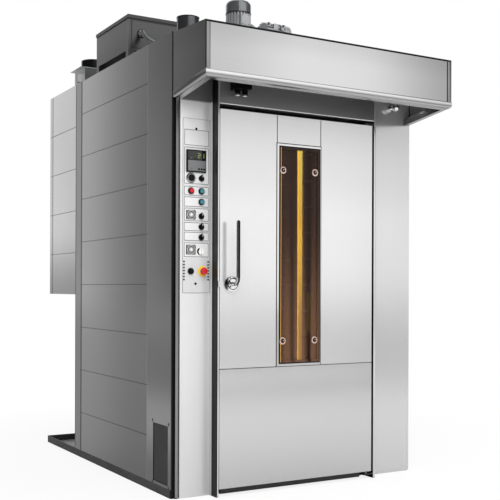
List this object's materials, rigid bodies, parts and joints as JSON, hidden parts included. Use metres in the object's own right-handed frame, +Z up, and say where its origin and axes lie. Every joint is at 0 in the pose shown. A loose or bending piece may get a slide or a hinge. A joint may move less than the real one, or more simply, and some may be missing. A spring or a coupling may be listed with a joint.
{
  "type": "rotating rack oven",
  "caption": "Rotating rack oven: insulated chamber with a glazed hinged door, steam hood, control column, rear heat exchanger housing and roof-mounted drives.",
  "frame": {"origin": "middle of the footprint on the floor, halfway between the hood's front edge and the rear rail of the base frame", "axes": "+X to the right as seen from the front, +Y to the back, +Z up"},
  "size_m": [1.56, 2.389, 2.8446],
  "materials": {
    "dark_steel": "satin",
    "insulated_panel": "matt",
    "rear_steel": "satin",
    "side_steel": "satin",
    "front_steel": "satin",
    "galvanised": "zinc coated",
    "cast_iron": "cast",
    "chrome": "polished",
    "black_plastic": "moulded",
    "red_plastic": "moulded",
    "teal_plastic": "moulded",
    "brown_glass": "polished",
    "rubber": "matt"
  },
  "bodies": {
    "casing": {"base_frame": "dark_steel", "chamber_floor": "insulated_panel", "left_wall": "insulated_panel", "right_wall": "insulated_panel", "rear_wall": "insulated_panel", "roof_panel": "insulated_panel", "chamber_ceiling": "rear_steel", "air_diffuser": "rear_steel", "steam_generator": "cast_iron", "left_cladding": "side_steel", "right_cladding": "side_steel", "left_rear_post": "side_steel", "left_front_panel": "side_steel", "vent_grille": "dark_steel", "corner_profile": "dark_steel", "control_column": "front_steel", "right_column": "front_steel", "control_plate": "front_steel", "controller": "black_plastic", "door_frame": "dark_steel", "transom_panel": "dark_steel", "hood_shell": "front_steel", "hood_lip": "front_steel", "left_spotlight": "black_plastic", "right_spotlight": "chrome", "upper_hinge": "dark_steel", "lower_hinge": "dark_steel", "rear_unit": "rear_steel", "heat_exchanger": "cast_iron", "flue": "galvanised", "steam_outlet": "dark_steel", "fan_housing": "side_steel", "fan_housing_lid": "side_steel", "fan_motor": "cast_iron", "conduit": "galvanised", "gear_motor": "cast_iron", "motor_cowl": "dark_steel", "extractor_motor": "cast_iron"},
    "door": {"door_core": "insulated_panel", "door_skin_upper": "front_steel", "door_skin_lower": "front_steel", "window_frame": "chrome", "outer_glass": "brown_glass", "inner_glass": "brown_glass", "door_seal": "rubber", "handle_rose": "chrome"},
    "handle": {"handle_lever": "chrome"},
    "rack_drive": {"rack_hook": "rear_steel"},
    "fan": {"fan_wheel": "rear_steel"},
    "damper": {"flue_damper": "galvanised"},
    "red_button": {"red_button": "red_plastic"},
    "upper_teal_button": {"upper_teal_button": "teal_plastic"},
    "lower_teal_button": {"lower_teal_button": "teal_plastic"},
    "black_button": {"black_button": "black_plastic"},
    "emergency_stop": {"emergency_stop": "red_plastic"},
    "fan_selector": {"fan_selector": "black_plastic"},
    "steam_timer_knob": {"steam_timer_knob": "black_plastic"},
    "damper_selector": {"damper_selector": "black_plastic"},
    "rotation_selector": {"rotation_selector": "black_plastic"},
    "light_selector": {"light_selector": "black_plastic"}
  },
  "joints": [
    {"name": "door_hinge", "type": "hinge", "parent": "casing", "child": "door", "pos_m": [0.421, -0.8765, 0], "axis": [0, 0, 1], "range_deg": [0, 100]},
    {"name": "handle_turn", "type": "hinge", "parent": "door", "child": "handle", "pos_m": [-0.476, -0.9025, 1.105], "axis": [0, 1, 0], "range_deg": [0, 90]},
    {"name": "rack_turn", "type": "hinge", "parent": "casing", "child": "rack_drive", "pos_m": [-0.052, -0.2175, 2], "axis": [0, 0, 1], "continuous": true},
    {"name": "fan_spin", "type": "hinge", "parent": "casing", "child": "fan", "pos_m": [-0.35, 0.1325, 2.2], "axis": [0, 0, 1], "continuous": true},
    {"name": "damper_turn", "type": "hinge", "parent": "casing", "child": "damper", "pos_m": [-0.5275, 0.982, 2.5], "axis": [1, 0, 0], "range_deg": [0, 85]},
    {"name": "red_button_press", "type": "slide", "parent": "casing", "child": "red_button", "axis": [0, 1, 0], "range_m": [0, 0.004], "stiffness_N_per_m": 600},
    {"name": "upper_teal_button_press", "type": "slide", "parent": "casing", "child": "upper_teal_button", "axis": [0, 1, 0], "range_m": [0, 0.004], "stiffness_N_per_m": 600},
    {"name": "lower_teal_button_press", "type": "slide", "parent": "casing", "child": "lower_teal_button", "axis": [0, 1, 0], "range_m": [0, 0.004], "stiffness_N_per_m": 600},
    {"name": "black_button_press", "type": "slide", "parent": "casing", "child": "black_button", "axis": [0, 1, 0], "range_m": [0, 0.004], "stiffness_N_per_m": 600},
    {"name": "emergency_stop_press", "type": "slide", "parent": "casing", "child": "emergency_stop", "axis": [0, 1, 0], "range_m": [0, 0.005]},
    {"name": "fan_selector_turn", "type": "hinge", "parent": "casing", "child": "fan_selector", "pos_m": [-0.616, -0.831, 1.6535], "axis": [0, 1, 0], "range_deg": [0, 90]},
    {"name": "steam_timer_knob_turn", "type": "hinge", "parent": "casing", "child": "steam_timer_knob", "pos_m": [-0.616, -0.831, 1.4566], "axis": [0, 1, 0], "range_deg": [0, 300]},
    {"name": "damper_selector_turn", "type": "hinge", "parent": "casing", "child": "damper_selector", "pos_m": [-0.616, -0.831, 1.4015], "axis": [0, 1, 0], "range_deg": [0, 90]},
    {"name": "rotation_selector_turn", "type": "hinge", "parent": "casing", "child": "rotation_selector", "pos_m": [-0.616, -0.831, 1.347], "axis": [0, 1, 0], "range_deg": [0, 90]},
    {"name": "light_selector_turn", "type": "hinge", "parent": "casing", "child": "light_selector", "pos_m": [-0.616, -0.831, 1.272], "axis": [0, 1, 0], "range_deg": [-45, 45]}
  ]
}
